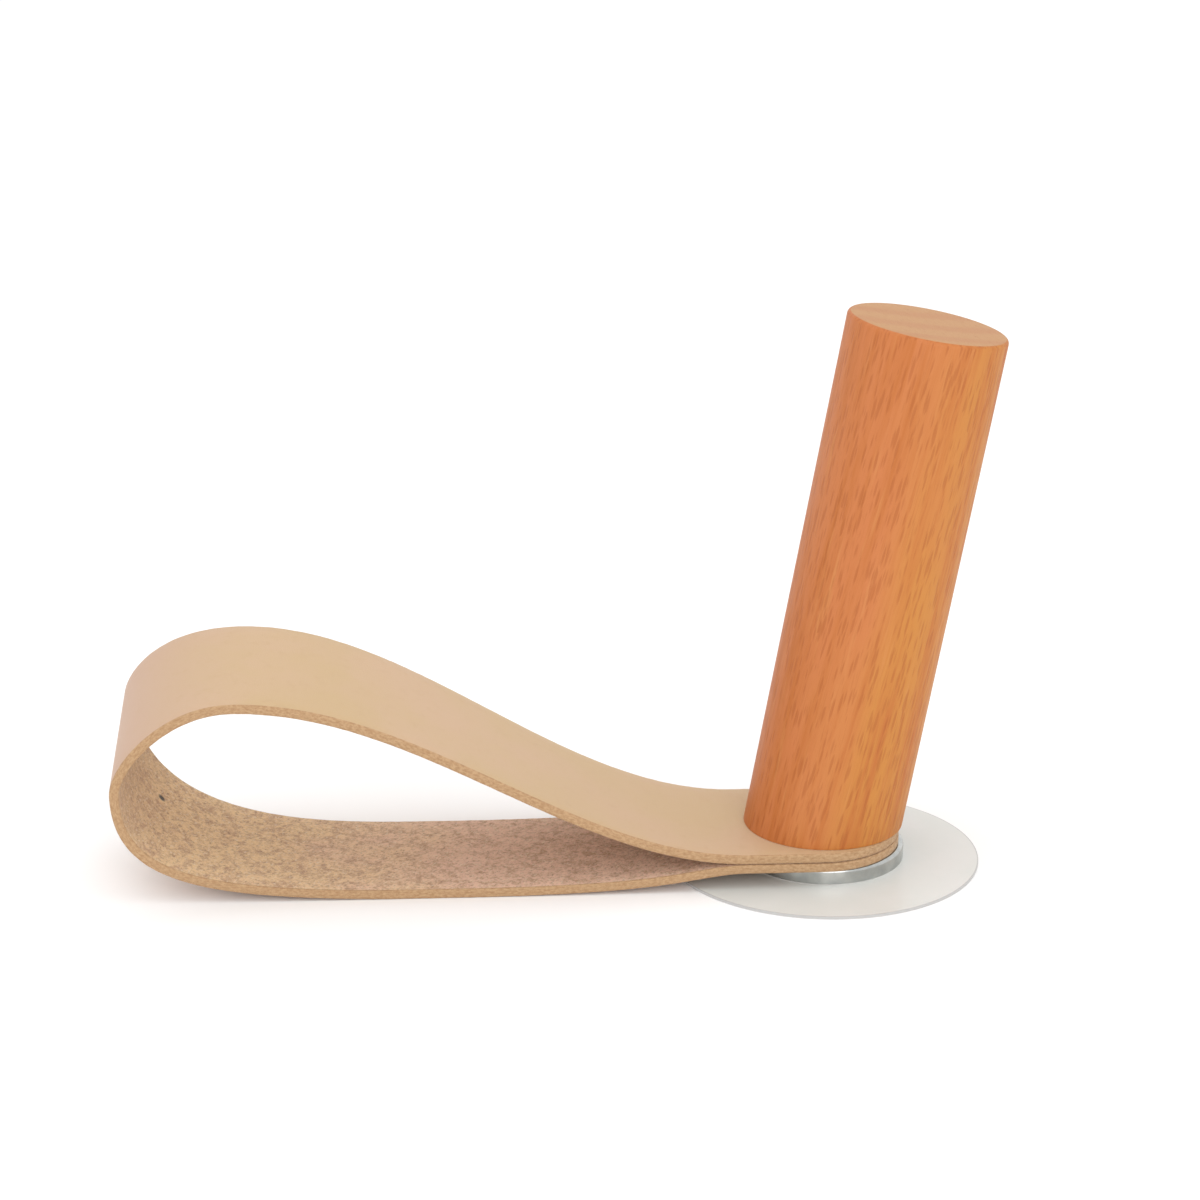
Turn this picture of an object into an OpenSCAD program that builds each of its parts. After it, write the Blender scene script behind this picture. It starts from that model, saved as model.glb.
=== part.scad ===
// Wall hook: a leaning round peg and a folded leather strap on one threaded stud,
// carried by a small steel plate on a round self-adhesive disc.
// Units are millimetres. The wall is the XY plane, the stud stands along +Z at the origin,
// the strap's loop reaches towards -X and the peg leans towards +X.

/* [Adhesive disc] */

// Diameter of the self-adhesive disc
disc_diameter = 50; // [40:0.5:70]

// Thickness of the paper release liner
liner_thickness = 0.1; // [0.08:0.01:0.25]

// Thickness of the soft adhesive pad
pad_thickness = 0.15; // [0.1:0.05:0.8]

// Thickness of the clear backing film
film_thickness = 0.2; // [0.15:0.05:0.8]

/* [Base plate] */

// Diameter of the steel base plate
plate_diameter = 26; // [20:0.5:32]

// Thickness of the steel base plate
plate_thickness = 2.45; // [1.6:0.05:3]

// Radius of the rounded rim on the plate's outer face
plate_rim_radius = 0.6; // [0.2:0.05:0.9]

// Thickness of the bond line between the film and the plate
bond_thickness = 0.1; // [0.05:0.01:0.2]

/* [Stud] */

// Thread diameter over the crests
thread_diameter = 6; // [5:0.5:6.5]

// Distance from one thread crest to the next
thread_pitch = 1; // [0.8:0.05:1.25]

// Diameter of the stud's flat head under the plate
stud_head_diameter = 8.2; // [7.4:0.1:11]

// Thickness of the stud's flat head
stud_head_thickness = 1; // [0.6:0.05:1.2]

// How far the stud stands out beyond the strap
stud_projection = 9; // [6:0.5:12]

/* [Leather strap] */

// Width of the strap
strap_width = 28; // [22:0.5:36]

// Thickness of the leather
leather_thickness = 1.5; // [1.1:0.05:2.2]

// Distance from the stud's axis to the outermost point of the curl
loop_reach = 111; // [85:1:140]

// Height of the curl's outermost point above the wall
curl_height = 21; // [14:0.5:26]

// Height of the top of the loop above the wall
loop_height = 33.5; // [26:0.5:42]

// How far inward from the curl the top of the loop lies
crown_length = 18.5; // [10:0.5:30]

// How steeply the strap's width is skewed at the curl, as rise over length
curl_skew = 0.23; // [0:0.01:0.25]

// How steeply the strap's width is skewed at the top of the loop
crest_skew = 0.12; // [0:0.01:0.2]

// Free space between the two stacked ends of the strap
ply_gap = 0.1; // [0.05:0.01:0.3]

/* [Peg] */

// Diameter of the wooden peg
peg_diameter = 25; // [20:0.5:32]

// Length of the peg along its own axis
peg_length = 82.5; // [60:0.5:120]

// How far the peg leans from the wall's normal, in degrees
peg_lean = 10; // [0:0.5:18]

// Radius of the eased edge around the peg's outer end
peg_edge_radius = 0.7; // [0.3:0.1:3]

/* [Threaded insert] */

// Outer diameter of the threaded insert in the peg
insert_diameter = 8.5; // [8:0.1:10]

// Length of the threaded insert
insert_length = 11; // [8:0.5:16]

/* [Hidden] */

$fn = 96;

// Free space between parts that slide past each other
clearance = 0.05;

// Free space around the stud in the strap's holes
strap_hole_clearance = 0.1;

// How far the strap's ends lie flat past the plate or the peg, whichever is wider
tab_margin = 0.3;

// How far the rounded ends of the strap stay inside the tip of the peg's foot
tab_inset = 0.5;

// Stretch of the strap's lower run that lies on the wall, from and to, as shares of the reach
wall_from_share = 0.505;
wall_to_share = 0.585;

// Handle lengths of the curves that shape the loop, as shares of each curve's rise or run
drop_handles = [0.2, 0.78];
even_handles = [1 / 3, 1 / 3];
curl_handles = [0.56, 0.85];
crown_handles = [0.34, 0.62];
return_handles = [0.35, 0.35];

// Flat stretches along each curve of the loop
drop_steps = 24;
wall_steps = 2;
curl_steps = 30;
crown_steps = 30;
return_steps = 40;

// Form of the thread, as shares of its pitch
thread_depth_share = 0.55;
crest_flat_share = 0.125;
root_flat_share = 0.25;

// Plain neck of the stud above the plate, and the bevel at its tip
neck_length = 0.4;
tip_bevel = 0.8;

// Depth of the free space in the peg beyond the insert
peg_hole_spare = 2;

// Grooves around the insert that hold it in the wood
groove_width = 1;
groove_depth = 0.5;
groove_count = 3;

// Bevel at both mouths of the insert
mouth_bevel = 0.3;

plate_base_z = liner_thickness + pad_thickness + film_thickness + bond_thickness;
plate_top_z = plate_base_z + plate_thickness;
upper_tab_z = plate_top_z + leather_thickness + ply_gap;
peg_foot_z = upper_tab_z + leather_thickness;
foot_half_length = peg_diameter / 2 / cos(peg_lean);
tab_reach = max(plate_diameter / 2, foot_half_length) + tab_margin;
tab_end = foot_half_length - tab_inset;
thread_radius = thread_diameter / 2;
root_radius = thread_radius - thread_depth_share * thread_pitch;
thread_start_z = plate_top_z + neck_length;
stud_tip_z = peg_foot_z + stud_projection;
thread_turns = floor((stud_tip_z - tip_bevel - thread_start_z) / thread_pitch);
insert_radius = insert_diameter / 2;
groove_spacing = insert_length / (groove_count + 1);

// Point on a cubic curve with four control points
function on_curve(c, t) =
    pow(1 - t, 3) * c[0]
    + 3 * pow(1 - t, 2) * t * c[1]
    + 3 * (1 - t) * pow(t, 2) * c[2]
    + pow(t, 3) * c[3];

// Direction of the curve at the same place
function along_curve(c, t) =
    pow(1 - t, 2) * (c[1] - c[0])
    + 2 * (1 - t) * t * (c[2] - c[1])
    + pow(t, 2) * (c[3] - c[2]);

// Smooth growth from 0 to 1 that starts slowly
function grow(t) = pow(t, 3) * (4 - 3 * t);

// A curve that leaves and arrives level, between two points at x and z
function level_curve(a, b, handles) = [
    a,
    [a[0] + (b[0] - a[0]) * handles[0], a[1]],
    [b[0] - (b[0] - a[0]) * handles[1], b[1]],
    b
];

// Key points of the strap's middle line, at x and z
lower_tab_point = [-tab_reach, plate_top_z + leather_thickness / 2];
wall_from_point = [-loop_reach * wall_from_share, leather_thickness / 2];
wall_to_point = [-loop_reach * wall_to_share, leather_thickness / 2];
curl_point = [-loop_reach, curl_height];
crest_point = [crown_length - loop_reach, loop_height];
upper_tab_point = [-tab_reach, upper_tab_z + leather_thickness / 2];

// From level on the wall to upright at the curl
curl_curve = [
    wall_to_point,
    wall_to_point + [(curl_point[0] - wall_to_point[0]) * curl_handles[0], 0],
    curl_point - [0, (curl_point[1] - wall_to_point[1]) * curl_handles[1]],
    curl_point
];

// From upright at the curl to level at the crest
crown_curve = [
    curl_point,
    curl_point + [0, (crest_point[1] - curl_point[1]) * crown_handles[0]],
    crest_point - [(crest_point[0] - curl_point[0]) * crown_handles[1], 0],
    crest_point
];

// Each curve of the loop with its number of steps and its skew at the start and the end
loop_curves = [
    [level_curve(lower_tab_point, wall_from_point, drop_handles), drop_steps, 0, 0],
    [level_curve(wall_from_point, wall_to_point, even_handles), wall_steps, 0, 0],
    [curl_curve, curl_steps, 0, curl_skew],
    [crown_curve, crown_steps, curl_skew, crest_skew],
    [level_curve(crest_point, upper_tab_point, return_handles), return_steps, crest_skew, 0]
];

// Skew part way along a curve: it grows slowly from nothing, and fades slowly to nothing
function skew_at(from, to, t) =
    to == 0 ? from * grow(1 - t) : from + (to - from) * grow(t);

// The four corners of the strap's section at one station of one curve
function section(curve, t) =
    let (
        p = on_curve(curve[0], t),
        d = along_curve(curve[0], t),
        outward = [-d[1], 0, d[0]] / norm(d) * leather_thickness / 2,
        rise = skew_at(curve[2], curve[3], t),
        across = [0, sqrt(1 - rise * rise), rise] * strap_width / 2,
        middle = [p[0], 0, p[1]]
    )
    [
        middle + outward - across,
        middle + outward + across,
        middle - outward + across,
        middle - outward - across
    ];

loop_points = [
    for (curve = loop_curves)
        for (step = [0 : curve[1] - 1])
            each section(curve, step / curve[1]),
    each section(loop_curves[len(loop_curves) - 1], 1)
];

last_ring = len(loop_points) - 4;

loop_faces = [
    [0, 2, 1],
    [0, 3, 2],
    for (ring = [0 : 4 : last_ring - 4])
        for (side = [0 : 3])
            each [
                [ring + side, ring + (side + 1) % 4 + 4, ring + side + 4],
                [ring + side, ring + (side + 1) % 4, ring + (side + 1) % 4 + 4]
            ],
    [last_ring, last_ring + 1, last_ring + 2],
    [last_ring, last_ring + 2, last_ring + 3]
];

// Outline of a round part with one rounded outer edge, for turning about the axis
module rounded_outline(radius, height, edge_radius) {
    square([radius - edge_radius, height]);
    square([radius, height - edge_radius]);
    translate([radius - edge_radius, height - edge_radius])
        circle(r = edge_radius);
}

// One flat end of the strap, rounded, with its hole for the stud
module strap_tab() {
    linear_extrude(height = leather_thickness)
        difference() {
            union() {
                translate([tab_end - strap_width / 2, 0])
                    circle(d = strap_width);
                translate([-tab_reach, -strap_width / 2])
                    square([tab_reach + tab_end - strap_width / 2, strap_width]);
            }
            circle(r = thread_radius + strap_hole_clearance);
        }
}

// Half outline of the thread, from its start up to its last crest
thread_outline = [
    for (turn = [0 : thread_turns - 1])
        each [
            [root_radius, turn * thread_pitch],
            [root_radius, (turn + root_flat_share) * thread_pitch],
            [thread_radius, (turn + 0.5 + root_flat_share / 2 - crest_flat_share / 2) * thread_pitch],
            [thread_radius, (turn + 0.5 + root_flat_share / 2 + crest_flat_share / 2) * thread_pitch]
        ]
];

module release_liner() {
    color("ivory")
        cylinder(d = disc_diameter, h = liner_thickness);
}

module adhesive_pad() {
    color("whitesmoke")
        translate([0, 0, liner_thickness])
            cylinder(d = disc_diameter, h = pad_thickness);
}

module backing_film() {
    color("white")
        translate([0, 0, liner_thickness + pad_thickness])
            cylinder(d = disc_diameter, h = film_thickness);
}

module plate_bond() {
    color("gainsboro")
        translate([0, 0, plate_base_z - bond_thickness])
            cylinder(d = plate_diameter, h = bond_thickness);
}

module base_plate() {
    color("silver")
        translate([0, 0, plate_base_z])
            rotate_extrude()
                difference() {
                    rounded_outline(plate_diameter / 2, plate_thickness, plate_rim_radius);
                    square([thread_radius + clearance, plate_thickness]);
                    square([stud_head_diameter / 2 + clearance, stud_head_thickness]);
                }
}

module stud() {
    color("darkgray") {
        translate([0, 0, plate_base_z])
            cylinder(d = stud_head_diameter, h = stud_head_thickness);
        translate([0, 0, plate_base_z])
            cylinder(r = thread_radius, h = plate_thickness);
        translate([0, 0, plate_base_z])
            cylinder(r = root_radius, h = stud_tip_z - plate_base_z - tip_bevel);
        translate([0, 0, thread_start_z])
            rotate_extrude()
                polygon(concat(
                    [[0, 0]],
                    thread_outline,
                    [[root_radius, thread_turns * thread_pitch], [0, thread_turns * thread_pitch]]
                ));
        translate([0, 0, stud_tip_z - tip_bevel])
            cylinder(r1 = root_radius, r2 = root_radius - tip_bevel / 2, h = tip_bevel);
    }
}

module strap() {
    color("burlywood") {
        translate([0, 0, plate_top_z])
            strap_tab();
        translate([0, 0, upper_tab_z])
            strap_tab();
        polyhedron(points = loop_points, faces = loop_faces, convexity = 6);
    }
}

module threaded_insert() {
    color("goldenrod")
        translate([0, 0, peg_foot_z])
            rotate_extrude()
                difference() {
                    square([insert_radius, insert_length]);
                    square([thread_radius + clearance, insert_length]);
                    for (end = [0, insert_length])
                        translate([thread_radius + clearance, end])
                            rotate(45)
                                square(mouth_bevel * sqrt(2), center = true);
                    for (groove = [1 : groove_count])
                        translate([insert_radius, groove * groove_spacing])
                            square([2 * groove_depth, groove_width], center = true);
                }
}

module peg() {
    color("sandybrown")
        difference() {
            translate([0, 0, peg_foot_z])
                rotate([0, peg_lean, 0])
                    translate([0, 0, -peg_diameter])
                        rotate_extrude()
                            rounded_outline(peg_diameter / 2, peg_length + peg_diameter, peg_edge_radius);
            translate([-2 * peg_diameter, -2 * peg_diameter, peg_foot_z - 3 * peg_diameter])
                cube([4 * peg_diameter, 4 * peg_diameter, 3 * peg_diameter]);
            translate([0, 0, peg_foot_z - peg_hole_spare])
                cylinder(r = insert_radius + clearance, h = insert_length + 2 * peg_hole_spare);
        }
}

release_liner();
adhesive_pad();
backing_film();
plate_bond();
base_plate();
stud();
strap();
threaded_insert();
peg();
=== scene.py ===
"""Looks of a wall hook: a leaning beech peg and a folded leather strap on a small steel plate.

Every length is in metres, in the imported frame: the wall is the XY plane and the stud stands on Z.
"""

import math

import bmesh
import bpy
from mathutils import Matrix, Vector, noise


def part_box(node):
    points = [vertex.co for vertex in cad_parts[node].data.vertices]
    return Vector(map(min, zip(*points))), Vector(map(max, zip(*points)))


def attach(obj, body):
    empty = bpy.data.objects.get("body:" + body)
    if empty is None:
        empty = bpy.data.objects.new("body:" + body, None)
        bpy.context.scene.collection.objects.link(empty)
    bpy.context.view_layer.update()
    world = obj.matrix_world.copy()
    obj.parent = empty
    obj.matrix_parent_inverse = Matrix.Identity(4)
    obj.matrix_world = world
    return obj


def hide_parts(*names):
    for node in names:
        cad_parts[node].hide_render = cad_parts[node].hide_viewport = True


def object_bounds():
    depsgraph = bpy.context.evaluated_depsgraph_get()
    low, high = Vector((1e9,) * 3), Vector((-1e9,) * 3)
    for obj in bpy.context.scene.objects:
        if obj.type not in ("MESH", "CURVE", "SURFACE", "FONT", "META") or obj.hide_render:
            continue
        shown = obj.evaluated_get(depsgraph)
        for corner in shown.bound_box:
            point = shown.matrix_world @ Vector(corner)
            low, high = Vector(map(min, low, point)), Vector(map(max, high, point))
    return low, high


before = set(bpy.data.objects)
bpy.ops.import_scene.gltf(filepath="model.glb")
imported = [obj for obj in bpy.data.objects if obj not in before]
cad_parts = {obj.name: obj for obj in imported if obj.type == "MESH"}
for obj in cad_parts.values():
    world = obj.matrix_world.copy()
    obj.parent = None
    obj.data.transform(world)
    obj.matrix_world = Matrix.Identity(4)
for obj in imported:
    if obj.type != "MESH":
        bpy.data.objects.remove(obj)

MM = 0.001

# The CAD boxes that every size below is taken from
CAD_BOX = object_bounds()
PEG_LOW, PEG_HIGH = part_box("peg")
STRAP_LOW, STRAP_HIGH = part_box("strap")
PLATE_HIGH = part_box("base_plate")[1]
STUD_LOW, STUD_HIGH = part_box("stud")
DISC_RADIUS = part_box("backing_film")[1].x

# Camera: where it stands round the hook, and where the hook's origin falls in its picture
CAMERA_TURN = math.radians(-3.0075)
CAMERA_TILT = math.radians(18.326)
CAMERA_SIDEWAYS = -35.73 * MM
CAMERA_UPWARDS = 41.05 * MM
CAMERA_DISTANCE = 473.86 * MM
CAMERA_LENS = 88.22
SENSOR_WIDTH = 36

# Peg: its radius, lean and length follow from its box, its eases are the radii of its rounded edges
PEG_RADIUS = (PEG_HIGH.y - PEG_LOW.y) / 2
PEG_LEAN = math.acos(PEG_RADIUS / -PEG_LOW.x)
PEG_FOOT = PEG_LOW.z
PEG_LENGTH = (PEG_HIGH.z - PEG_FOOT - PEG_RADIUS * math.sin(PEG_LEAN)) / math.cos(PEG_LEAN)
PEG_TOP_EASE = 0.7 * MM
PEG_FOOT_EASE = 0.12 * MM

# Bore in the peg's foot that holds the insert
BORE_RADIUS = 4.3 * MM
BORE_DEPTH = 13 * MM

# How much more than the peg its grain leans
DASH_SLANT = math.radians(4)

# Strap: the leather, the space between its stacked ends, and its cut edges, whose fibres stand out a little
LEATHER = 1.5 * MM
PLY_GAP = 0.1 * MM
STRAP_WIDTH = STRAP_HIGH.y - STRAP_LOW.y
STRAP_EDGE = 0.3 * MM
STRAP_FUZZ = 0.07 * MM
STRAP_STEP = 0.6 * MM
STRAP_HOLE_RADIUS = 3.1 * MM

# Its two ends, which lie flat a little past the plate or the peg, whichever is wider
TAB_MARGIN = 0.3 * MM
TAB_END = STRAP_HIGH.x
TAB_REACH = max(PLATE_HIGH.x, -PEG_LOW.x) + TAB_MARGIN
LOWER_TAB = PLATE_HIGH.z + LEATHER / 2
UPPER_TAB = LOWER_TAB + LEATHER + PLY_GAP

# Its loop: the same values as the CAD strap has, with handles as shares of each curve's rise or run
LOOP_REACH = 111 * MM
CURL_HEIGHT = 21 * MM
LOOP_HEIGHT = 33.5 * MM
CROWN_LENGTH = 18.5 * MM
CURL_SKEW = 0.23
CREST_SKEW = 0.12
WALL_FROM_SHARE = 0.505
WALL_TO_SHARE = 0.585
DROP_HANDLES = (0.2, 0.78)
EVEN_HANDLES = (1 / 3, 1 / 3)
CURL_HANDLES = (0.56, 0.85)
CROWN_HANDLES = (0.34, 0.62)
RETURN_HANDLES = (0.35, 0.35)

# Places on the flat strap: where its colours change along it, and the awl's mark
BLUSH_ENDS = 115 * MM
CURL_ALONG = 135 * MM
CREST_ALONG = 162 * MM
MARK_ALONG = 120.1 * MM
MARK_ACROSS = 4.3 * MM

# Stud, with the form of its thread as shares of the pitch
STUD_RADIUS = 3 * MM
STUD_HEAD_THICKNESS = 1 * MM
STUD_HEAD_EDGE = 0.1 * MM
TIP_BEVEL = 0.8 * MM
THREAD_START = PLATE_HIGH.z + 0.4 * MM
THREAD_PITCH = 1 * MM
THREAD_DEPTH = 0.55 * MM
THREAD_STEPS = 14
GROOVE_HALF_SHARE = 0.42
GROOVE_STEEPNESS = 1.15

# Studio floor: half its side, and how far under the hook it lies
FLOOR_HALF = 3.0
FLOOR_DROP = 0.02 * MM

# How much light falls on the hook, so that a colour's paint is that much darker than it shows
LIGHT_LEVEL = 1.31


def paint(red, green, blue):
    """The paint that shows as this sRGB colour of 0 to 255 under the studio light."""
    shown = [value / 255 for value in (red, green, blue)]
    linear = [value / 12.92 if value <= 0.04045 else ((value + 0.055) / 1.055) ** 2.4 for value in shown]
    return (*[value / LIGHT_LEVEL for value in linear], 1)


class Graph:
    """One material's node tree, with a short call for each kind of node that is used."""

    def __init__(self, name):
        self.material = bpy.data.materials.new(name)
        self.material.use_nodes = True
        self.tree = self.material.node_tree
        self.surface = self.tree.nodes["Principled BSDF"]

    def node(self, kind, inputs=(), **settings):
        made = self.tree.nodes.new(kind)
        for key, value in settings.items():
            setattr(made, key, value)
        for key, value in dict(inputs).items():
            self.feed(made.inputs[key], value)
        return made

    def feed(self, socket, value):
        if isinstance(value, bpy.types.NodeSocket):
            self.tree.links.new(value, socket)
        else:
            socket.default_value = value

    def place(self, stretch, attribute=None, turn=(0, 0, 0), shift=(0, 0, 0)):
        """Where a point is, in cells of 1 / stretch: on the object, or on a named attribute of its mesh."""
        if attribute:
            where = self.node("ShaderNodeAttribute", attribute_name=attribute).outputs["Vector"]
        else:
            where = self.node("ShaderNodeTexCoord").outputs["Object"]
        turned = self.node("ShaderNodeMapping", {"Vector": where, "Rotation": turn})
        scaled = {"Vector": turned.outputs["Vector"], "Scale": stretch, "Location": shift}
        return self.node("ShaderNodeMapping", scaled).outputs["Vector"]

    def clouds(self, where, detail=2.0, roughness=0.5):
        """Soft noise of 0 to 1, about one cloud in each cell."""
        inputs = {"Vector": where, "Scale": 1.0, "Detail": detail, "Roughness": roughness}
        return self.node("ShaderNodeTexNoise", inputs).outputs["Fac"]

    def cells(self, where, feature="F1"):
        inputs = {"Vector": where, "Scale": 1.0}
        return self.node("ShaderNodeTexVoronoi", inputs, feature=feature)

    def band(self, value, low, high, to_low=0.0, to_high=1.0):
        """The value, spread smoothly from one range to another and held at its ends."""
        inputs = {"Value": value, "From Min": low, "From Max": high, "To Min": to_low, "To Max": to_high}
        return self.node("ShaderNodeMapRange", inputs, interpolation_type="SMOOTHSTEP").outputs["Result"]

    def maths(self, operation, first, second=0.0):
        made = self.node("ShaderNodeMath", operation=operation)
        self.feed(made.inputs[0], first)
        self.feed(made.inputs[1], second)
        return made.outputs["Value"]

    def mix(self, first, second, share):
        made = self.node("ShaderNodeMix", data_type="RGBA")
        self.feed(made.inputs["Factor"], share)
        self.feed(made.inputs[6], first)
        self.feed(made.inputs[7], second)
        return made.outputs[2]

    def axis(self, where, index):
        """One of the three numbers of a place or a colour."""
        return self.node("ShaderNodeSeparateXYZ", {"Vector": where}).outputs[index]

    def finish(self, colour, roughness, height=None, depth=0.0, **constants):
        """Joins colour, roughness and relief to the surface. Depth is the relief's height in metres."""
        self.feed(self.surface.inputs["Base Color"], colour)
        self.feed(self.surface.inputs["Roughness"], roughness)
        if height is not None:
            relief = {"Height": height, "Distance": depth, "Strength": 1.0}
            self.feed(self.surface.inputs["Normal"], self.node("ShaderNodeBump", relief).outputs["Normal"])
        for key, value in constants.items():
            self.surface.inputs[key.replace("_", " ")].default_value = value
        return self.material


def dashes(graph, turn, shift):
    """Short dark strokes along the grain, where beech's broad rays come to the surface."""
    where = graph.place((1800, 1800, 210), turn=turn, shift=shift)
    cell = graph.cells(where)
    size = graph.maths("MULTIPLY", graph.axis(cell.outputs["Color"], 0), 0.42)
    edge = graph.maths("SUBTRACT", size, cell.outputs["Distance"])
    return graph.band(edge, -0.14, 0.12)


def beech_side():
    graph = Graph("beech_side")
    slant = (0, -DASH_SLANT, 0)
    patches = graph.clouds(graph.place((55, 55, 14)), 3.0)
    # Painted shade: the peg's side towards its negative X is painted pinker and darker, and the other side
    # golder and lighter; the patches added to it are the wood's own random tone.
    across = graph.axis(graph.place((1 / PEG_RADIUS, 1, 1)), 0)
    tone_and_side_shade = graph.maths("ADD", graph.maths("MULTIPLY", across, 0.22), patches)
    pink = paint(214, 130, 76)
    gold = paint(214, 142, 68)
    colour = graph.mix(pink, gold, graph.band(tone_and_side_shade, 0.3, 0.72))
    streaks = graph.clouds(graph.place((520, 520, 14), turn=slant), 4.0, 0.6)
    colour = graph.mix(paint(202, 118, 58), colour, graph.band(streaks, 0.28, 0.6))
    pale = graph.clouds(graph.place((900, 900, 40), turn=slant, shift=(7, 3, 1)), 3.0, 0.6)
    colour = graph.mix(colour, paint(226, 154, 92), graph.band(pale, 0.55, 0.8, 0, 0.5))
    marks = graph.maths("MAXIMUM", dashes(graph, slant, (0, 0, 0)), dashes(graph, slant, (3.3, 8.1, 5.7)))
    colour = graph.mix(colour, paint(178, 96, 44), graph.maths("MULTIPLY", marks, 0.44))
    pores = graph.clouds(graph.place((5200, 5200, 260), turn=slant), 2.0)
    colour = graph.mix(colour, paint(186, 108, 54), graph.band(pores, 0.52, 0.75, 0, 0.35))
    height = graph.maths("SUBTRACT", graph.maths("MULTIPLY", pores, -0.5), marks)
    roughness = graph.band(streaks, 0.3, 0.7, 0.56, 0.48)
    return graph.finish(colour, roughness, height, 0.02 * MM, Specular_IOR_Level=0.25)


def beech_end():
    graph = Graph("beech_end")
    middle = graph.place((1, 1, 1), shift=(14 * MM, -46 * MM, 0))
    flat = graph.node("ShaderNodeVectorMath", {"Vector": middle}, operation="LENGTH").outputs["Value"]
    wander = graph.maths("MULTIPLY", graph.clouds(graph.place((90, 90, 90)), 2.0), 1.2 * MM)
    rings = graph.maths("SINE", graph.maths("MULTIPLY", graph.maths("ADD", flat, wander), 1700))
    colour = graph.mix(paint(214, 164, 118), paint(208, 148, 108), graph.band(rings, -0.6, 1, 0, 0.5))
    rays = graph.clouds(graph.place((2600, 420, 400), turn=(0, 0, math.radians(-16))), 3.0, 0.6)
    colour = graph.mix(colour, paint(194, 136, 94), graph.band(rays, 0.5, 0.75, 0, 0.5))
    pores = graph.cells(graph.place((4200, 4200, 400))).outputs["Distance"]
    colour = graph.mix(paint(186, 130, 88), colour, graph.band(pores, 0.1, 0.35, 0.6, 1))
    return graph.finish(colour, 0.66, pores, 0.03 * MM, Specular_IOR_Level=0.25)


def leather_grain():
    graph = Graph("leather_grain")
    clouds = graph.clouds(graph.place((45, 45, 45), "flat_place"), 3.0)
    colour = graph.mix(paint(216, 182, 134), paint(220, 184, 146), graph.band(clouds, 0.35, 0.65))
    along = graph.axis(graph.place((1, 1, 1), "flat_place"), 0)
    blush = graph.band(along, CREST_ALONG, CURL_ALONG, 0, 0.9)
    colour = graph.mix(colour, paint(214, 174, 148), blush)
    freckles = graph.clouds(graph.place((620, 620, 620), "flat_place"), 4.0, 0.6)
    colour = graph.mix(colour, paint(208, 170, 126), graph.band(freckles, 0.5, 0.8, 0, 0.4))
    grain = graph.cells(graph.place((2400, 2400, 2400), "flat_place"), "DISTANCE_TO_EDGE").outputs["Distance"]
    height = graph.maths("ADD", graph.band(grain, 0, 0.12), freckles)
    roughness = graph.band(clouds, 0.3, 0.7, 0.5, 0.58)
    return graph.finish(colour, roughness, height, 0.012 * MM, Sheen_Weight=0.08, Sheen_Roughness=0.5)


def awl_mark(graph, colour, along, across):
    """A small dark prick left in the flesh side, at a place on the flat strap."""
    where = graph.place((1, 1, 0), "flat_place", shift=(-along, -across, 0))
    reach = graph.node("ShaderNodeVectorMath", {"Vector": where}, operation="LENGTH").outputs["Value"]
    return graph.mix(paint(62, 48, 42), colour, graph.band(reach, 0.3 * MM, 0.9 * MM))


def leather_flesh(mark_along, mark_across):
    graph = Graph("leather_flesh")
    along = graph.axis(graph.place((1, 1, 1), "flat_place"), 0)
    drift = graph.maths("MULTIPLY", graph.clouds(graph.place((70, 90, 70), "flat_place"), 3.0), 60 * MM)
    blush = graph.band(graph.maths("ADD", along, drift), BLUSH_ENDS + 20 * MM, BLUSH_ENDS - 20 * MM)
    colour = graph.mix(paint(255, 218, 164), paint(254, 210, 180), blush)
    # Painted shade: the flesh side is darker from just before the curl onwards, inside the curl and under the
    # crown.
    painted_curl_shade = graph.band(along, CURL_ALONG - 22 * MM, CURL_ALONG, 0, 0.6)
    colour = graph.mix(colour, paint(208, 164, 120), painted_curl_shade)
    blotches = graph.clouds(graph.place((760, 700, 700), "flat_place", turn=(0, 0, 0.6)), 8.0, 0.75)
    colour = graph.mix(paint(206, 160, 122), colour, graph.band(blotches, 0.36, 0.58))
    fibres = graph.clouds(graph.place((1500, 2100, 1500), "flat_place", turn=(0, 0, 0.8)), 5.0, 0.65)
    colour = graph.mix(colour, paint(162, 118, 88), graph.band(fibres, 0.5, 0.7, 0, 0.75))
    lint = graph.clouds(graph.place((2400, 1100, 1500), "flat_place", turn=(0, 0, -0.4)), 6.0, 0.7)
    colour = graph.mix(colour, paint(255, 232, 198), graph.band(lint, 0.52, 0.68, 0, 0.8))
    colour = awl_mark(graph, colour, mark_along, mark_across)
    height = graph.maths("ADD", graph.maths("SUBTRACT", lint, fibres), blotches)
    return graph.finish(colour, 0.95, height, 0.22 * MM, Sheen_Weight=0.15, Sheen_Roughness=0.7)


def leather_edge():
    graph = Graph("leather_edge")
    fibres = graph.clouds(graph.place((1500, 1500, 3200), "flat_place"), 6.0, 0.7)
    colour = graph.mix(paint(184, 142, 100), paint(212, 174, 132), graph.band(fibres, 0.36, 0.64))
    return graph.finish(colour, 0.85, fibres, 0.12 * MM, Sheen_Weight=0.1)


def zinc(name, shade):
    graph = Graph(name)
    spangle = graph.clouds(graph.place((380, 380, 380)), 3.0, 0.5)
    colour = graph.mix(paint(*shade), paint(222, 223, 220), graph.band(spangle, 0.3, 0.75))
    brushed = graph.clouds(graph.place((500, 500, 9000)), 3.0)
    roughness = graph.band(spangle, 0.3, 0.7, 0.26, 0.18)
    return graph.finish(colour, roughness, brushed, 0.004 * MM, Metallic=1.0)


def brass():
    graph = Graph("machined_brass")
    stain = graph.clouds(graph.place((600, 600, 600)), 3.0)
    colour = graph.mix(paint(214, 172, 92), paint(236, 204, 128), graph.band(stain, 0.35, 0.7))
    turned = graph.clouds(graph.place((200, 200, 9000)), 2.0)
    return graph.finish(colour, graph.band(stain, 0.3, 0.7, 0.34, 0.24), turned, 0.004 * MM, Metallic=1.0)


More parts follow.
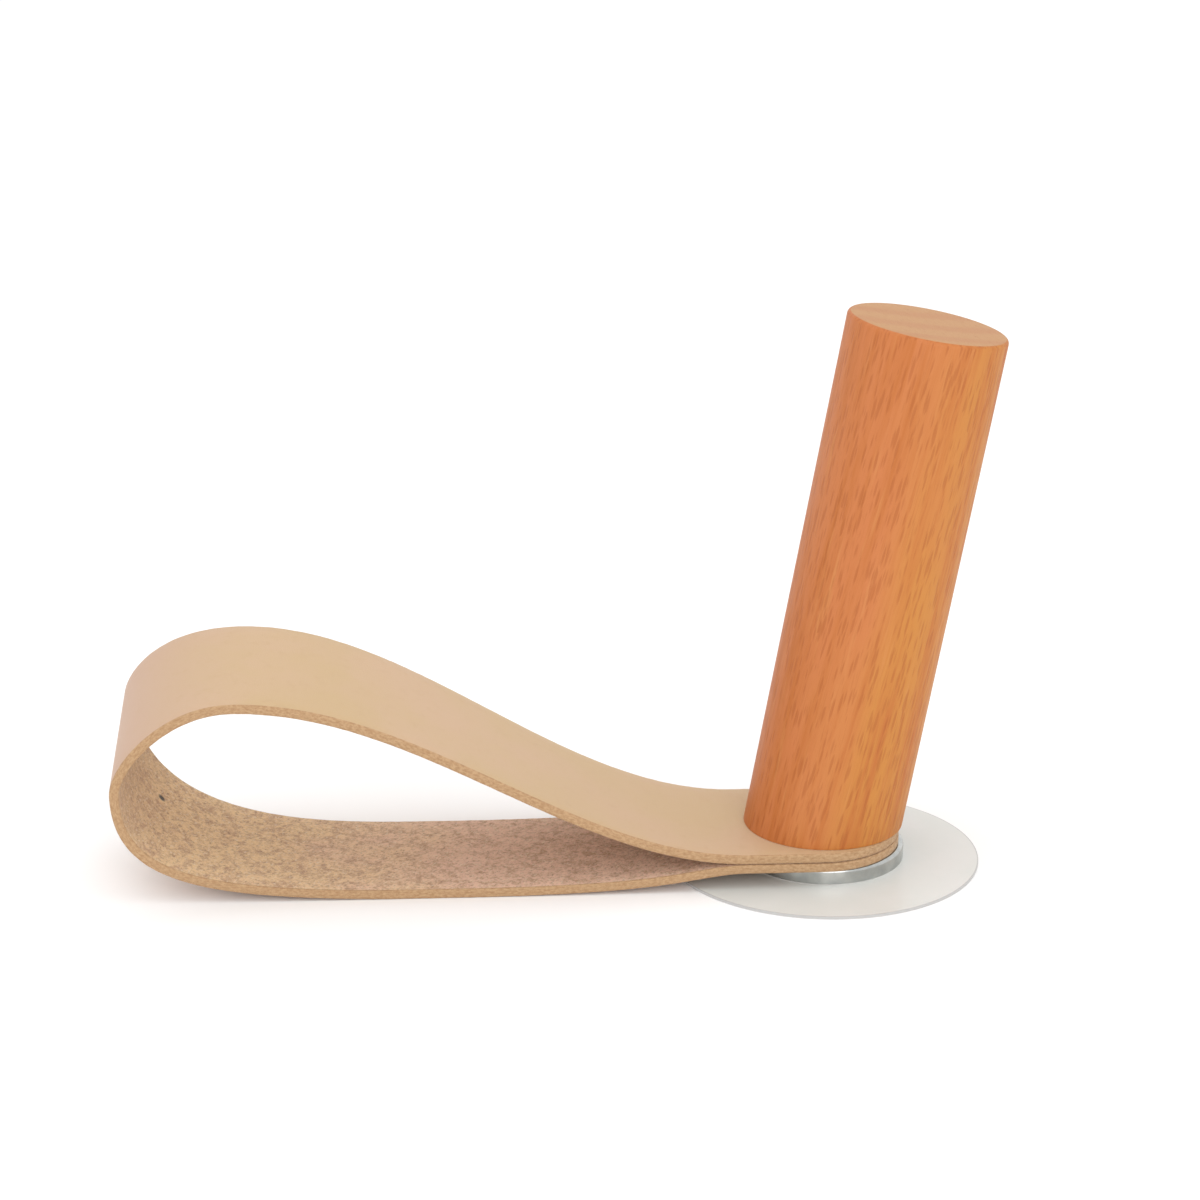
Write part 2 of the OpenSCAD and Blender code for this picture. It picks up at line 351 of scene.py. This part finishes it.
def disc_layer(name, shade, painted_rim_shadow_colour, gloss):
    """A milky layer of the disc, with a painted shadow in a thin greyer line round its rim."""
    graph = Graph(name)
    haze = graph.clouds(graph.place((70, 70, 70)), 4.0, 0.55)
    colour = graph.mix(paint(*shade), paint(250, 249, 246), graph.band(haze, 0.4, 0.7, 0, 0.5))
    where = graph.place((1, 1, 0))
    reach = graph.node("ShaderNodeVectorMath", {"Vector": where}, operation="LENGTH").outputs["Value"]
    # Painted shadow: a thin greyer line just inside the disc's rim.
    painted_rim_shadow = graph.band(reach, DISC_RADIUS - 0.25 * MM, DISC_RADIUS - 0.05 * MM)
    colour = graph.mix(colour, paint(*painted_rim_shadow_colour), painted_rim_shadow)
    ripple = graph.clouds(graph.place((900, 900, 900)), 3.0)
    return graph.finish(colour, graph.band(haze, 0.3, 0.7, gloss, gloss + 0.1), ripple, 0.004 * MM)


def floor_material():
    graph = Graph("studio_floor")
    haze = graph.clouds(graph.place((9, 9, 9)), 3.0)
    colour = graph.mix((0.94, 0.94, 0.94, 1), (0.96, 0.96, 0.96, 1), haze)
    return graph.finish(colour, 0.9, haze, 0.01 * MM, Specular_IOR_Level=0.0)


def mesh_object(name, points, faces, materials, face_material=None, attributes=None):
    """A mesh object with its materials, smooth faces and named vector attributes."""
    mesh = bpy.data.meshes.new(name)
    mesh.from_pydata(points, [], faces)
    for key, values in (attributes or {}).items():
        layer = mesh.attributes.new(key, "FLOAT_VECTOR", "POINT")
        layer.data.foreach_set("vector", [number for value in values for number in value])
    for material in materials:
        mesh.materials.append(material)
    if face_material:
        mesh.polygons.foreach_set("material_index", face_material)
    mesh.polygons.foreach_set("use_smooth", [True] * len(mesh.polygons))
    made = bpy.data.objects.new(name, mesh)
    bpy.context.scene.collection.objects.link(made)
    return made


def tidy_mesh(piece, sharp_angle):
    """Joins doubled points, turns every face outwards and keeps the edges over the angle sharp."""
    work = bmesh.new()
    work.from_mesh(piece.data)
    bmesh.ops.remove_doubles(work, verts=work.verts, dist=1e-6)
    bmesh.ops.recalc_face_normals(work, faces=work.faces)
    for edge in work.edges:
        edge.smooth = edge.calc_face_angle(0) < sharp_angle
    work.to_mesh(piece.data)
    work.free()
    piece.data.update()


def tube_faces(rings, count):
    """Quads between rings of count points each."""
    return [
        (ring * count + i, ring * count + (i + 1) % count, (ring + 1) * count + (i + 1) % count,
         (ring + 1) * count + i)
        for ring in range(rings - 1)
        for i in range(count)
    ]


def eased_corner(radius, height, ease, steps, from_angle, to_angle):
    """Radius and height of points round an eased edge, whose arc is centred inside the corner."""
    spread = [from_angle + (to_angle - from_angle) * i / steps for i in range(steps + 1)]
    return [(radius - ease + ease * math.cos(a), height + ease * math.sin(a)) for a in spread]


def make_peg():
    """The dowel, with its axis on its own Z: eased outer end, slanted foot and upright bore."""
    side_grain, end_grain = range(2)
    around = 160
    turn = Matrix.Rotation(PEG_LEAN, 4, "Y")
    stand = Matrix.Translation((0, 0, PEG_FOOT)) @ turn
    slope = math.tan(PEG_LEAN)
    angles = [2 * math.pi * i / around for i in range(around)]
    flat_top = PEG_LENGTH - PEG_TOP_EASE

    def on_foot(radius, lift):
        return [
            (radius * math.cos(a), radius * math.sin(a), radius * math.cos(a) * slope + lift)
            for a in angles
        ]

    def level(radius, height):
        return [(radius * math.cos(a), radius * math.sin(a), height) for a in angles]

    def bore(height):
        back = stand.inverted()
        return [
            tuple(back @ Vector((BORE_RADIUS * math.cos(a), BORE_RADIUS * math.sin(a), PEG_FOOT + height)))
            for a in angles
        ]

    rings = [bore(BORE_DEPTH), bore(0)]
    rings += [on_foot(radius, 0) for radius in (PEG_RADIUS * 0.6, PEG_RADIUS - PEG_FOOT_EASE)]
    foot_arc = eased_corner(PEG_RADIUS, PEG_FOOT_EASE, PEG_FOOT_EASE, 3, -math.pi / 3, 0)
    rings += [on_foot(radius, lift) for radius, lift in foot_arc]
    rings += [level(PEG_RADIUS, flat_top * share) for share in (0.1, 0.3, 0.5, 0.7, 0.9)]
    top_arc = eased_corner(PEG_RADIUS, flat_top, PEG_TOP_EASE, 8, 0, math.pi / 2)
    rings += [level(radius, height) for radius, height in top_arc]
    rings += [level((PEG_RADIUS - PEG_TOP_EASE) * share, PEG_LENGTH) for share in (0.75, 0.5, 0.25)]
    points = [point for ring in rings for point in ring]
    faces = tube_faces(len(rings), around)
    foot_bands = 3
    top_bands = 5
    side_bands = len(rings) - 1 - foot_bands - top_bands
    kinds = [end_grain] * foot_bands + [side_grain] * side_bands + [end_grain] * top_bands
    face_material = [kind for kind in kinds for _ in range(around)]
    for start in (0, len(points) - around):
        middle = sum((Vector(point) / around for point in points[start:start + around]), Vector())
        points.append(tuple(middle))
        faces += [(start + i, start + (i + 1) % around, len(points) - 1) for i in range(around)]
        face_material += [end_grain] * around
    peg = mesh_object("beech_peg", points, faces, [beech_side(), beech_end()], face_material)
    tidy_mesh(peg, math.radians(40))
    peg.matrix_world = stand
    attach(peg, "peg")
    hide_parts("peg")


def cubic(points, share):
    """A point on a cubic curve with four control points."""
    rest = 1 - share
    weights = (rest**3, 3 * rest**2 * share, 3 * rest * share**2, share**3)
    return sum((point * weight for point, weight in zip(points, weights)), Vector((0, 0)))


def level_curve(start, end, first, last):
    """Control points of a curve that is level at both ends, with handles as shares of its run."""
    run = end.x - start.x
    return [start, start + Vector((run * first, 0)), end - Vector((run * last, 0)), end]


def grow(share):
    """A share of 0 to 1, eased at both ends."""
    return share**3 * (4 - 3 * share)


def strap_line():
    """Points along the strap's middle line from its lower end to its upper end, each with its skew."""
    wall_from = Vector((-LOOP_REACH * WALL_FROM_SHARE, LEATHER / 2))
    wall_to = Vector((-LOOP_REACH * WALL_TO_SHARE, LEATHER / 2))
    curl = Vector((-LOOP_REACH, CURL_HEIGHT))
    crest = Vector((CROWN_LENGTH - LOOP_REACH, LOOP_HEIGHT))
    lower = Vector((-TAB_REACH, LOWER_TAB))
    upper = Vector((-TAB_REACH, UPPER_TAB))
    out = Vector((curl.x - wall_to.x, 0))
    rise = Vector((0, curl.y - wall_to.y))
    up = Vector((0, crest.y - curl.y))
    back = Vector((crest.x - curl.x, 0))
    curl_curve = [wall_to, wall_to + out * CURL_HANDLES[0], curl - rise * CURL_HANDLES[1], curl]
    crown_curve = [curl, curl + up * CROWN_HANDLES[0], crest - back * CROWN_HANDLES[1], crest]
    curves = [
        (level_curve(lower, wall_from, *DROP_HANDLES), 0, 0),
        (level_curve(wall_from, wall_to, *EVEN_HANDLES), 0, 0),
        (curl_curve, 0, CURL_SKEW),
        (crown_curve, CURL_SKEW, CREST_SKEW),
        (level_curve(crest, upper, *RETURN_HANDLES), CREST_SKEW, 0),
    ]
    steps = 240
    line = [(Vector((TAB_END, LOWER_TAB)), 0)]
    for curve, skew_from, skew_to in curves:
        for step in range(steps):
            share = step / steps
            if skew_to:
                skew = skew_from + (skew_to - skew_from) * grow(share)
            else:
                skew = skew_from * grow(1 - share)
            line.append((cubic(curve, share), skew))
    return line + [(upper, 0), (Vector((TAB_END, UPPER_TAB)), 0)]


class FlatStrap:
    """The strap as it was cut, and where each of its points goes once it is folded."""

    def __init__(self):
        self.line = strap_line()
        self.reached = [0.0]
        for (before, _), (after, _) in zip(self.line, self.line[1:]):
            self.reached.append(self.reached[-1] + (after - before).length)
        self.length = self.reached[-1]

    def folded(self, along, across, depth):
        """The folded place of a point that far along and across the flat strap, and that far outward."""
        low = 0
        high = len(self.reached) - 1
        while high - low > 1:
            middle = (low + high) // 2
            if self.reached[middle] <= along:
                low = middle
            else:
                high = middle
        share = (along - self.reached[low]) / (self.reached[high] - self.reached[low])
        start, skew_from = self.line[low]
        end, skew_to = self.line[high]
        skew = skew_from + (skew_to - skew_from) * share
        place = start + (end - start) * share
        ahead = self.heading(high)
        behind = self.heading(low)
        heading = (behind + (ahead - behind) * share).normalized()
        return (
            place.x - heading.y * depth,
            across * math.sqrt(1 - skew * skew),
            place.y + heading.x * depth + across * skew,
        )

    def heading(self, index):
        before = self.line[max(index - 1, 0)][0]
        after = self.line[min(index + 1, len(self.line) - 1)][0]
        return (after - before).normalized()


def strap_profile():
    """Points round the strap's section: share of the half width, inset from the cut edge, depth."""
    half = LEATHER / 2
    across = 12
    corner_steps = 3
    arc = [math.pi / 2 * i / corner_steps for i in range(1, corner_steps + 1)]
    corner = [(STRAP_EDGE * (1 - math.sin(a)), half - STRAP_EDGE * (1 - math.cos(a))) for a in arc]
    level = 0.45 * (half - STRAP_EDGE)
    top = [(-1 + 2 * i / across, STRAP_EDGE, half) for i in range(across + 1)]
    right = [(1, inset, depth) for inset, depth in corner]
    right += [(1, 0, depth) for depth in (level, 0, -level)]
    right += [(1, inset, -depth) for inset, depth in reversed(corner)]
    bottom = [(1 - 2 * i / across, STRAP_EDGE, -half) for i in range(across + 1)]
    left = [(-1, inset, depth) for _, inset, depth in reversed(right)]
    return top, right, bottom, left


def strap_stations(flat):
    """Each ring's centre along the strap, the end that it faces, and how far round that end it turns."""
    radius = STRAP_WIDTH / 2
    turn_steps = 24
    turns = [math.pi / 2 * i / turn_steps for i in range(turn_steps + 1)]
    count = round((flat.length - 2 * radius) / STRAP_STEP)
    straight = [radius + (flat.length - 2 * radius) * i / count for i in range(1, count)]
    lower = [(radius, -1, turn) for turn in reversed(turns)]
    upper = [(flat.length - radius, 1, turn) for turn in turns]
    return lower + [(along, 1, 0) for along in straight] + upper


def fuzz(along, depth, side):
    """How far the cut edge's fibres stand in or out at a place on it."""
    place = Vector((along / (0.9 * MM), depth / (0.5 * MM), side * 7.0))
    return STRAP_FUZZ * noise.noise(place)


def make_strap():
    """One leather strip with rounded ends, cut flat, bored for the stud and folded into its loop."""
    flat = FlatStrap()
    top, right, bottom, left = strap_profile()
    profile = top + right + bottom + left
    grain, flesh, edge = range(3)
    kinds = [grain] * (len(top) - 1) + [edge] * (len(right) + 1)
    kinds += [flesh] * (len(bottom) - 1) + [edge] * (len(left) + 1)
    radius = STRAP_WIDTH / 2
    points = []
    places = []
    stations = strap_stations(flat)
    for centre, direction, turn in stations:
        for share, inset, depth in profile:
            reach = radius - inset
            along = centre + direction * reach * math.sin(turn)
            across = share * reach * math.cos(turn)
            if abs(share) == 1 and inset < STRAP_EDGE:
                across += share * fuzz(along, depth, share) * math.cos(turn)
            along = min(max(along, 0.0), flat.length)
            points.append(flat.folded(along, across, depth))
            places.append((along, across, depth))
    faces = tube_faces(len(stations), len(profile))
    face_material = kinds * (len(stations) - 1)
    finishes = [leather_grain(), leather_flesh(MARK_ALONG, MARK_ACROSS), leather_edge()]
    strap = mesh_object("leather_strap", points, faces, finishes, face_material, {"flat_place": places})
    tidy_mesh(strap, math.radians(60))
    bore_strap(strap)
    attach(strap, "strap")
    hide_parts("strap")


def bore_strap(strap):
    """Cuts the stud's hole through both ends."""
    around = 64
    low = PLATE_HIGH.z - 1 * MM
    high = UPPER_TAB + LEATHER
    angles = [2 * math.pi * i / around for i in range(around)]
    points = [
        (STRAP_HOLE_RADIUS * math.cos(a), STRAP_HOLE_RADIUS * math.sin(a), height)
        for height in (low, high)
        for a in angles
    ]
    faces = tube_faces(2, around)
    faces += [tuple(reversed(range(around))), tuple(range(around, 2 * around))]
    cutter = mesh_object("bore_cutter", points, faces, [])
    tidy_mesh(cutter, math.radians(40))
    cut = strap.modifiers.new("bore", "BOOLEAN")
    cut.object = cutter
    cut.operation = "DIFFERENCE"
    cut.solver = "EXACT"
    depsgraph = bpy.context.evaluated_depsgraph_get()
    bored = bpy.data.meshes.new_from_object(strap.evaluated_get(depsgraph), depsgraph=depsgraph)
    strap.modifiers.clear()
    strap.data = bored
    bpy.data.objects.remove(cutter)


def thread_depth(height, angle, start, end):
    """How deep the helical thread is cut at a height and angle, running out at both ends."""
    phase = (height / THREAD_PITCH - angle / (2 * math.pi)) % 1
    groove = max(0.0, 1 - abs(phase - 0.5) / GROOVE_HALF_SHARE)
    fade = min(1.0, max(0.0, (height - start) / THREAD_PITCH), max(0.0, (end - height) / THREAD_PITCH + 1))
    return THREAD_DEPTH * min(1.0, groove * GROOVE_STEEPNESS) * fade


def make_stud():
    """The stud with its flat head and a true right-handed thread."""
    around = 72
    head = (STUD_HIGH.y - STUD_LOW.y) / 2
    head_top = STUD_LOW.z + STUD_HEAD_THICKNESS
    threaded = STUD_HIGH.z - THREAD_START
    angles = [2 * math.pi * i / around for i in range(around)]

    def level(radius, height):
        return [(radius * math.cos(a), radius * math.sin(a), height) for a in angles]

    rings = [level(head - STUD_HEAD_EDGE, STUD_LOW.z), level(head, STUD_LOW.z + STUD_HEAD_EDGE)]
    rings += [level(head, head_top), level(STUD_RADIUS, head_top), level(STUD_RADIUS, THREAD_START)]
    steps = round(threaded / (THREAD_PITCH / THREAD_STEPS))
    for step in range(1, steps + 1):
        height = THREAD_START + threaded * step / steps
        bevel = max(0.0, height - (STUD_HIGH.z - TIP_BEVEL))
        cut = [thread_depth(height, a, THREAD_START, STUD_HIGH.z) for a in angles]
        radii = [min(STUD_RADIUS - depth, STUD_RADIUS - bevel) for depth in cut]
        rings.append([(r * math.cos(a), r * math.sin(a), height) for r, a in zip(radii, angles)])
    points = [point for ring in rings for point in ring]
    faces = tube_faces(len(rings), around)
    faces += [tuple(reversed(range(around))), tuple(range(len(points) - around, len(points)))]
    stud = mesh_object("threaded_stud", points, faces, [zinc("zinc_thread", (190, 190, 188))])
    tidy_mesh(stud, math.radians(35))
    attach(stud, "base")
    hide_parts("stud")


def dress_cad_nodes():
    """Gives the CAD nodes that stay their own materials."""
    finishes = {
        "base_plate": zinc("zinc_plating", (194, 197, 195)),
        "threaded_insert": brass(),
        # Each disc layer's second colour is the painted shadow in a thin line round its rim.
        "backing_film": disc_layer("milky_film", (240, 242, 237), (206, 206, 204), 0.3),
        "adhesive_pad": disc_layer("soft_adhesive", (236, 234, 230), (206, 204, 202), 0.4),
        "release_liner": disc_layer("paper_liner", (240, 238, 234), (220, 218, 215), 0.6),
        "plate_bond": disc_layer("bond_line", (206, 205, 202), (190, 188, 186), 0.5),
    }
    for name, finish in finishes.items():
        for material_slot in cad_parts[name].material_slots:
            material_slot.material = finish


def make_floor():
    """A plain floor that isn't part of the hook."""
    corners = ((-1, -1), (1, -1), (1, 1), (-1, 1))
    points = [(x * FLOOR_HALF, y * FLOOR_HALF, 0) for x, y in corners]
    floor = mesh_object("studio_floor", points, [(0, 1, 2, 3)], [floor_material()])
    floor.location.z = -FLOOR_DROP


def area_light(name, place, aim, size, power):
    data = bpy.data.lights.new(name, "AREA")
    data.size = size
    data.energy = power
    light = bpy.data.objects.new(name, data)
    light.location = place
    light.rotation_euler = (Vector(aim) - Vector(place)).to_track_quat("-Z", "Y").to_euler()
    bpy.context.scene.collection.objects.link(light)


def light_studio():
    """A white room with a broad soft light above and a stronger one in front."""
    world = bpy.data.worlds.new("studio")
    world.use_nodes = True
    backdrop = world.node_tree.nodes["Background"]
    backdrop.inputs["Color"].default_value = (1, 1, 1, 1)
    backdrop.inputs["Strength"].default_value = 1.08
    bpy.context.scene.world = world
    middle = ((CAD_BOX[0] + CAD_BOX[1]) / 2)[:]
    area_light("overhead", (-0.2, -0.2, 0.9), middle, 0.7, 1.1)
    area_light("front", (0.15, -0.9, 0.4), middle, 0.6, 2.6)


def make_camera():
    back = Vector((
        math.sin(CAMERA_TURN) * math.cos(CAMERA_TILT),
        -math.cos(CAMERA_TURN) * math.cos(CAMERA_TILT),
        math.sin(CAMERA_TILT),
    ))
    right = Vector((math.cos(CAMERA_TURN), math.sin(CAMERA_TURN), 0))
    up = back.cross(right)
    data = bpy.data.cameras.new("camera")
    data.lens = CAMERA_LENS
    data.sensor_width = SENSOR_WIDTH
    data.clip_start = 0.01
    camera = bpy.data.objects.new("camera", data)
    place = right * CAMERA_SIDEWAYS + up * CAMERA_UPWARDS + back * CAMERA_DISTANCE
    camera.matrix_world = Matrix.Translation(place) @ Matrix((right, up, back)).transposed().to_4x4()
    bpy.context.scene.collection.objects.link(camera)
    bpy.context.scene.camera = camera


bpy.context.scene.view_settings.view_transform = "Standard"
make_camera()
light_studio()
make_floor()
make_strap()
make_peg()
make_stud()
dress_cad_nodes()
